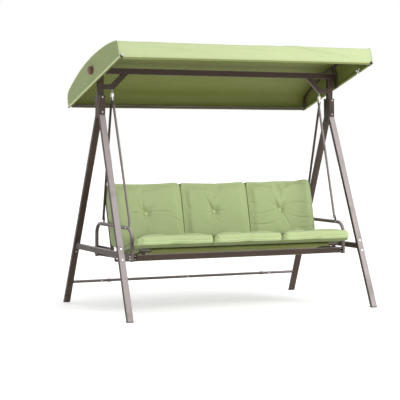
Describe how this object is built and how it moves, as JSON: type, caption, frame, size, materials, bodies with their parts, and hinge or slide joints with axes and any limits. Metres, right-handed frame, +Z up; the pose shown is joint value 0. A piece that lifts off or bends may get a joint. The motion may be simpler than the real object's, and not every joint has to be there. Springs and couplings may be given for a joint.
{
  "type": "canopy swing bench",
  "caption": "Canopy swing bench: A-frame stand, hanging padded seat with sling and hoop armrests, and a tilting cloth roof clamped by two side knobs.",
  "frame": {"origin": "on the ground, midway between the four feet", "axes": "+X along the bench to the right seen from the front, +Y to the rear, +Z up"},
  "size_m": [2.256, 1.3596, 2.0598],
  "materials": {
    "powder_coat_brown": "fine powder coat, satin",
    "zinc_hardware": "bright zinc plate",
    "black_plastic": "moulded, matte",
    "grey_plastic": "moulded, matte",
    "knob_plastic": "moulded, satin",
    "canopy_cloth": "plain-weave polyester, coated underside",
    "sling_cloth": "coarse woven sling mesh",
    "cushion_cloth": "slub-weave polyester, button tufted"
  },
  "bodies": {
    "frame": {"leg_front_left": "powder_coat_brown", "leg_front_right": "powder_coat_brown", "leg_rear_left": "powder_coat_brown", "leg_rear_right": "powder_coat_brown", "leg_caps": "black_plastic", "posts": "powder_coat_brown", "beam_left": "powder_coat_brown", "beam_right": "powder_coat_brown", "beam_splice": "zinc_hardware", "gussets": "powder_coat_brown", "eyebolts": "zinc_hardware", "beam_end_plugs": "black_plastic", "crossbar_left": "powder_coat_brown", "crossbar_right": "powder_coat_brown", "stretcher_left": "powder_coat_brown", "stretcher_middle": "powder_coat_brown", "stretcher_right": "powder_coat_brown", "stretcher_collars": "powder_coat_brown", "frame_bolts": "zinc_hardware"},
    "hanger_left": {"shackle_left": "zinc_hardware", "hanger_barrel_left": "zinc_hardware"},
    "hanger_right": {"shackle_right": "zinc_hardware", "hanger_barrel_right": "zinc_hardware"},
    "seat": {"rod_front_left": "powder_coat_brown", "rod_front_right": "powder_coat_brown", "rod_rear_left": "powder_coat_brown", "rod_rear_right": "powder_coat_brown", "hanger_bolts": "zinc_hardware", "armrest_left": "powder_coat_brown", "armrest_right": "powder_coat_brown", "side_rail_left": "powder_coat_brown", "side_rail_right": "powder_coat_brown", "front_rail": "powder_coat_brown", "seat_cross_rails": "powder_coat_brown", "sling_front_tube": "powder_coat_brown", "back_side_tubes": "powder_coat_brown", "back_top_rail": "powder_coat_brown", "link_bars": "powder_coat_brown", "seat_frame_bolts": "zinc_hardware", "seat_sling": "sling_cloth", "back_sling": "sling_cloth", "seat_cushion_left": "cushion_cloth", "seat_cushion_middle": "cushion_cloth", "seat_cushion_right": "cushion_cloth", "back_cushion_left": "cushion_cloth", "back_cushion_middle": "cushion_cloth", "back_cushion_right": "cushion_cloth"},
    "canopy": {"canopy_top": "canopy_cloth", "canopy_end_left": "canopy_cloth", "canopy_end_right": "canopy_cloth", "canopy_arch_left": "powder_coat_brown", "canopy_arch_right": "powder_coat_brown", "canopy_base_bars": "powder_coat_brown", "canopy_cross_tubes": "powder_coat_brown", "canopy_brackets": "powder_coat_brown", "canopy_corner_caps": "grey_plastic"},
    "knob_left": {"knob_left": "knob_plastic", "knob_stud_left": "zinc_hardware"},
    "knob_right": {"knob_right": "knob_plastic", "knob_stud_right": "zinc_hardware"}
  },
  "joints": [
    {"name": "hanger_left_swing", "type": "hinge", "parent": "frame", "child": "hanger_left", "pos_m": [-0.931, 0, 1.70808], "axis": [1, 0, 0], "range_deg": [-15, 15]},
    {"name": "hanger_right_swing", "type": "hinge", "parent": "frame", "child": "hanger_right", "pos_m": [0.931, 0, 1.70808], "axis": [1, 0, 0], "range_deg": [-15, 15]},
    {"name": "seat_swing", "type": "hinge", "parent": "hanger_left", "child": "seat", "pos_m": [-0.931, 0, 1.645], "axis": [1, 0, 0], "range_deg": [-5, 5]},
    {"name": "canopy_tilt", "type": "hinge", "parent": "frame", "child": "canopy", "pos_m": [1.07, 0, 1.867], "axis": [1, 0, 0], "range_deg": [-21.5, 58.5]},
    {"name": "knob_left_turn", "type": "hinge", "parent": "canopy", "child": "knob_left", "pos_m": [-1.11, 0, 1.867], "axis": [1, 0, 0], "continuous": true},
    {"name": "knob_right_turn", "type": "hinge", "parent": "canopy", "child": "knob_right", "pos_m": [1.11, 0, 1.867], "axis": [1, 0, 0], "continuous": true}
  ],
  "couplings": [
    {"joint": "hanger_right_swing", "follows": "hanger_left_swing", "ratio": 1}
  ]
}
